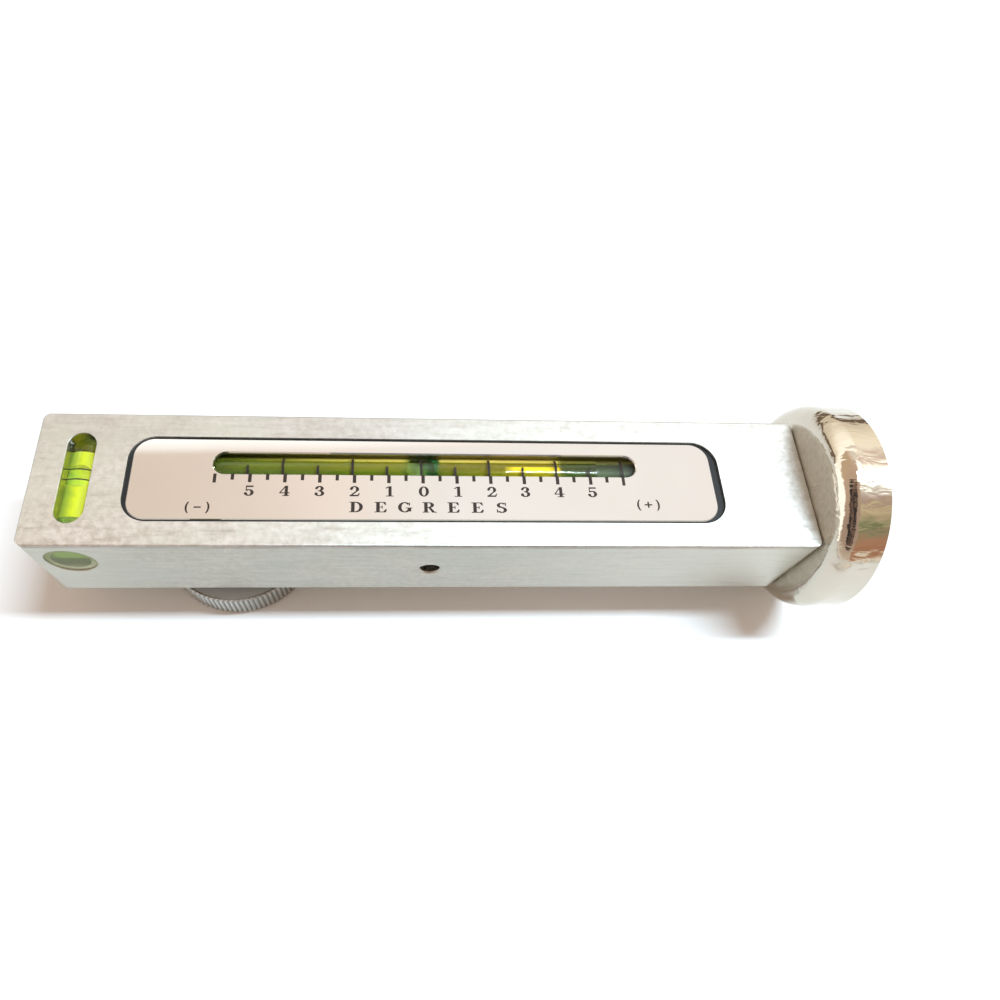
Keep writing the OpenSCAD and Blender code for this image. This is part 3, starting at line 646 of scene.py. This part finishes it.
# ---------------------------------------------------------------- finishes of the CAD pieces
black = ink()
steel = turned_metal("bright_steel", (0.58, 0.575, 0.565), 0.24)
wear(N["body"], aluminium())
polished = plate_metal()
wear(N["camber_plate"], polished)
wear(N["caster_plate"], polished)
seal = plastic("black_seal", (0.015, 0.016, 0.017), 0.42, 3.0, Specular_IOR_Level=0.22)
wear(N["camber_seal"], seal)
wear(N["caster_seal"], seal)
tube = clear_tube("clear_tube", (0.93, 0.96, 0.78), ior=1.38)
wear(N["camber_vial"], tube)
wear(N["caster_vial"], tube)
wear(N["level_vial"], clear_tube("level_tube", (0.80, 0.86, 0.60), frost_below=-13.88))
wear(N["level_vial_plug"], window_plug())
wear(N["camber_fluid"], camber_liquid())
wear(N["caster_fluid"], plain_liquid("caster_liquid", (0.30, 0.42, 0.02), (0.62, 0.62, 0.02), 0, PIV_X - 18, PIV_X + 18))
wear(N["level_fluid"], plain_liquid("level_liquid", (0.13, 0.225, 0.04), (0.50, 0.50, 0.015), 0, LEV_X - 2.6, LEV_X + 2.2, 0.42))
plug = plastic("green_plug", (0.05, 0.13, 0.03), 0.3)
wear(N["camber_vial_plugs"], plug)
wear(N["caster_vial_plugs"], plug)
wear(N["camber_saddle"], plastic("pale_bed", (0.62, 0.64, 0.22), 0.5))
wear(N["caster_rocker"], plastic("black_rocker", (0.022, 0.022, 0.024), 0.42, 1.6, 0.00006))
wear(N["pivot_pin"], turned_metal("ground_pin", (0.16, 0.155, 0.15), 0.34, 1))
wire = turned_metal("spring_wire", (0.60, 0.60, 0.60), 0.22)
wear(N["return_spring"], wire)
wear(N["adjuster_bush"], turned_metal("turned_brass", (0.78, 0.56, 0.24), 0.26))
wear(N["adjuster_screw"], turned_metal("plated_screw", (0.42, 0.415, 0.41), 0.3))
wear(N["knob"], ribbed_nickel((0.54, 0.53, 0.495)))
wear(N["thrust_pad"], plastic("pale_pad", (0.74, 0.72, 0.62), 0.4))
wear(N["magnet_cup"], nickel("bright_nickel", (0.56, 0.515, 0.435), (0.60, 0.555, 0.475), 0.055, 0.40))
wear(N["magnet_ring"], sintered("sintered_magnet", (0.10, 0.10, 0.105)))
wear(N["magnet_core"], turned_metal("ground_core", (0.56, 0.555, 0.55), 0.3, 0))
wear(N["magnet_potting"], plastic("cast_resin", (0.010, 0.010, 0.012), 0.3, 1.2, 0.0001))
wear(N["magnet_stud"], steel)

# ---------------------------------------------------------------- marks
camber_print(black)
caster_print(black)

spots = []
for n in range(-5, 7):
    x = 72.95 + 6.69 * n
    if 33.0 < x < 115.0:
        spots.append((XE + x, 52, -38 if n % 2 == 0 else -2))
ob = arc_band("camber_vial_marks", black, spots, (0, SLOT_Y, CAM_Z), CAM_R, 0.50,
              (1, 0, 0), ((0, 0, 1), (0, -1, 0)))
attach(ob, "housing")

ob = arc_band("caster_vial_marks", black, [(PIV_X + x, -75, 75) for x in (-13.2, -8.8, -4.4, 4.4, 8.8, 13.2)],
              (0, CAS_Y, CAS_Z), CAS_R, 0.32, (1, 0, 0), ((0, 0, -1), (0, 1, 0)))
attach(ob, "rocker")

ob = arc_band("level_vial_marks", black, [(y, -72, 72) for y in (0.75, 2.95)],
              (LEV_X, 0, LEV_Z), LEV_R - 0.02, 0.28, (0, 1, 0), ((0, 0, 1), (1, 0, 0)), thick=0.02)
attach(ob, "housing")


def coil_spring(cx, cy, z0, z1, turns=4.5, coil=1.7, wire_r=0.2, per=28, sides=12):
    """Return spring with closed ends: it stands on the lower plate and bears on the rocker. Millimetres."""
    n = int(turns * per)
    lift, pitch = [0.0], []
    for i in range(n):
        t = (i + 0.5) / n
        pitch.append(0.45 if t < 0.13 or t > 0.87 else 1.0)
    k = (z1 - z0 - 2 * wire_r) / sum(pitch)
    for p in pitch:
        lift.append(lift[-1] + p * k)
    bm = bmesh.new()
    rings = []
    for i in range(n + 1):
        a = 2 * math.pi * i / per
        ring = []
        for j in range(sides):
            q = 2 * math.pi * j / sides
            r = coil + wire_r * math.cos(q)
            ring.append(bm.verts.new((0.001 * (cx + r * math.cos(a)), 0.001 * (cy + r * math.sin(a)),
                                      0.001 * (z0 + wire_r + lift[i] + wire_r * math.sin(q)))))
        rings.append(ring)
    for p, q in zip(rings, rings[1:]):
        for j in range(sides):
            f = bm.faces.new((p[j], p[(j + 1) % sides], q[(j + 1) % sides], q[j]))
            f.smooth = True
    bm.faces.new(rings[0])
    bm.faces.new(rings[-1])
    bmesh.ops.recalc_face_normals(bm, faces=bm.faces)
    me = bpy.data.meshes.new("coil_spring")
    bm.to_mesh(me)
    bm.free()
    ob = bpy.data.objects.new("coil_spring", me)
    bpy.context.scene.collection.objects.link(ob)
    return ob


spring = coil_spring(XE + 106, -3.4, -9.2, -5.2)
wear(spring, wire)
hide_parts("return_spring")
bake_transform(spring)


# ---------------------------------------------------------------- floor, lights and surroundings
def make_floor():
    bm = bmesh.new()
    bmesh.ops.create_grid(bm, x_segments=8, y_segments=8, size=1.6)
    me = bpy.data.meshes.new("floor")
    bm.to_mesh(me)
    bm.free()
    ob = bpy.data.objects.new("floor", me)
    ob.location = (-0.08, 0, FLOOR_Z * MM - 0.00002)
    bpy.context.scene.collection.objects.link(ob)
    m = Mat("pale_floor", Roughness=0.7, Specular_IOR_Level=0.15)
    n = m.noise(m.mm, 0.004, 2, 0.5)
    m.set(Base_Color=m.mix(m.span(n, 0.4, 0.6), (0.88, 0.88, 0.878), (0.895, 0.895, 0.893)))
    wear(ob, m)


def ceiling_lamp(name, u, v, power, height=1.2):
    """A flat soft lamp over the object. u and v are the slopes from the object to its edges, along X and Y."""
    data = bpy.data.lights.new(name, "AREA")
    data.shape = "RECTANGLE"
    data.size, data.size_y = (u[1] - u[0]) * height, (v[1] - v[0]) * height
    data.energy = power
    data.color = (0.72, 0.885, 1.0)
    ob = bpy.data.objects.new(name, data)
    bpy.context.scene.collection.objects.link(ob)
    ob.location = (-0.06 + (u[0] + u[1]) / 2 * height, (v[0] + v[1]) / 2 * height, height)
    ob.visible_camera = False


def make_flag():
    """A small dark card over the front, as a studio uses to draw dark lines along bright edges. Only reflections see it."""
    c = Vector((-0.092996, -0.068646, 0.129927))
    right = Vector((0.99753192, -0.02788267, 0.0644408))
    down = Vector((0.00178903, -0.90738092, -0.42030545))
    back = Vector((-0.07019159, -0.41938339, 0.90509155))
    w0, w1, d0, d1, r = -0.026, 0.080, -0.066, 0.146, 0.012
    pts = []
    for cx, cy, a0 in ((w1 - r, d0 + r, -90), (w1 - r, d1 - r, 0), (w0 + r, d1 - r, 90), (w0 + r, d0 + r, 180)):
        for k in range(7):
            a = math.radians(a0 + 15 * k)
            pts.append((cx + r * math.cos(a), cy + r * math.sin(a)))
    # torn edge: the outline wanders by a few millimetres
    torn = []
    for (ax, ay), (bx, by) in zip(pts, pts[1:] + pts[:1]):
        n = max(1, int(math.hypot(bx - ax, by - ay) / 0.004))
        for k in range(n):
            px, py = ax + (bx - ax) * k / n, ay + (by - ay) * k / n
            w = 0.0045 * math.sin(px * 210 + py * 330) + 0.003 * math.sin(px * 530 - py * 710 + 1.3)
            torn.append(c + back * 0.004 + right * (px + w) + down * (py + 0.6 * w))
    pts = torn
    bm = bmesh.new()
    bm.faces.new([bm.verts.new(p) for p in pts])
    me = bpy.data.meshes.new("flag")
    bm.to_mesh(me)
    bm.free()
    ob = bpy.data.objects.new("flag", me)
    bpy.context.scene.collection.objects.link(ob)
    m = Mat("dark_card", Roughness=0.8, Specular_IOR_Level=0.0)
    m.set(Base_Color=m.mix(m.span(m.noise(m.mm, 0.035), 0.44, 0.60), (0.05, 0.045, 0.045), (0.30, 0.19, 0.15)))
    wear(ob, m)
    ob.visible_camera = False
    ob.visible_diffuse = False
    ob.visible_shadow = False


def make_world():
    w = bpy.data.worlds.new("room")
    bpy.context.scene.world = w
    w.use_nodes = True
    w.cycles.sampling_method = "NONE"
    t = Tree(w.node_tree)
    x, y, z = t.xyz(t.node("ShaderNodeTexCoord").outputs["Generated"])
    turn = t.math("MULTIPLY_ADD", t.math("ARCTAN2", z, y), 0.5 / math.pi, 0.5)
    turn = t.math("MULTIPLY_ADD", x, 1.6 / 360, turn)

    def at(deg):
        return 0.5 + deg / 360

    back = [
        (at(-5), (0.86, 0.84, 0.80)), (at(5), (0.70, 0.61, 0.50)), (at(22), (0.95, 0.84, 0.69)),
        (at(38), (1.28, 1.21, 1.08)), (at(50), (1.40, 1.36, 1.28))]
    plain = t.ramp(turn, back + [
        (at(57.4), (1.43, 1.40, 1.34)),
        (at(57.8), (0.67, 0.50, 0.35)), (at(72), (0.66, 0.49, 0.37)), (at(95), (0.62, 0.46, 0.36)),
        (at(118), (0.54, 0.40, 0.32)), (at(140), (0.46, 0.34, 0.28)), (at(160), (0.50, 0.37, 0.30)),
        (at(172), (0.66, 0.55, 0.46)), (at(180), (0.92, 0.88, 0.82))])
    lit = t.ramp(turn, back[:3] + [
        (at(40), (1.17, 1.08, 0.92)), (at(50), (1.22, 1.14, 1.0)), (at(56), (0.98, 0.85, 0.75)),
        (at(61), (0.84, 0.67, 0.62)), (at(66), (0.95, 0.80, 0.72)), (at(70), (1.35, 1.28, 1.20)),
        (at(74), (1.7, 1.7, 1.7)), (at(95.5), (1.7, 1.7, 1.7)), (at(98.5), (0.95, 0.95, 0.94)),
        (at(101), (0.84, 0.78, 0.70)), (at(109), (0.63, 0.48, 0.45)), (at(115), (0.52, 0.40, 0.32)),
        (at(121), (0.74, 0.63, 0.42)), (at(129), (0.56, 0.46, 0.31)), (at(136.5), (0.34, 0.35, 0.20)),
        (at(141), (0.22, 0.24, 0.13)), (at(145), (0.36, 0.31, 0.21)), (at(150), (0.39, 0.29, 0.18)),
        (at(157), (0.50, 0.275, 0.18)), (at(168), (0.46, 0.225, 0.14)), (at(173), (0.52, 0.32, 0.22)),
        (at(178), (0.89, 0.78, 0.67)), (at(180), (0.95, 0.88, 0.78))])
    # the ceiling is paler over the middle
    pale = t.ramp(t.math("MULTIPLY_ADD", x, 1.0, 0.5), [
        (0.18, (0.67, 0.50, 0.35)), (0.30, (0.74, 0.57, 0.43)), (0.41, (0.87, 0.70, 0.56)),
        (0.60, (0.89, 0.84, 0.77)), (0.80, (0.90, 0.84, 0.76)), (0.92, (0.88, 0.79, 0.71)), (0.99, (0.84, 0.67, 0.60))])
    col = t.mix(t.math("MULTIPLY", t.span(turn, at(57.5), at(57.9)), t.span(turn, at(78), at(68), smooth=True)), plain, pale)
    right = t.math("MULTIPLY", t.span(x, 0.13, 0.25, smooth=True), t.span(turn, at(63.5), at(67), smooth=True))
    right = t.math("MAXIMUM", right, t.span(x, 0.44, 0.54, smooth=True))
    col = t.mix(right, col, lit)
    # a dark skirting all along the far wall, and a window far to the left
    far = t.math("MULTIPLY", t.math("MULTIPLY", t.span(z, 0.0, 0.015), t.span(z, 0.155, 0.135)), t.span(y, 0.15, 0.3))
    col = t.mix(far, col, (0.19, 0.135, 0.10))
    col = t.mix(t.math("MULTIPLY", t.span(x, -0.86, -0.92, smooth=True), t.span(y, 0.42, 0.34)), col, (1.5, 1.48, 1.42))
    lp = t.node("ShaderNodeLightPath")
    col = t.mix(lp.outputs["Is Diffuse Ray"], col, (0.62, 0.495, 0.41))
    col = t.mix(lp.outputs["Is Camera Ray"], col, (0.93, 0.93, 0.915))
    # reflections see the room as strongly lit as the table is
    bare = t.math("ADD", lp.outputs["Is Diffuse Ray"], lp.outputs["Is Camera Ray"], clamp=True)
    bg = t.node("ShaderNodeBackground")
    t.put(bg.inputs[0], col)
    t.put(bg.inputs[1], t.math("MULTIPLY_ADD", bare, -0.36, 1.36))
    out = t.node("ShaderNodeOutputWorld")
    t.put(out.inputs[0], bg.outputs[0])


make_floor()
make_flag()
make_world()
ceiling_lamp("lamp", (0.155, 0.82), (0.02, 0.102), 25.0)

view = bpy.context.scene.view_settings
view.view_transform = "Standard"
view.look = "None"
view.exposure = 0.0
view.gamma = 1.0
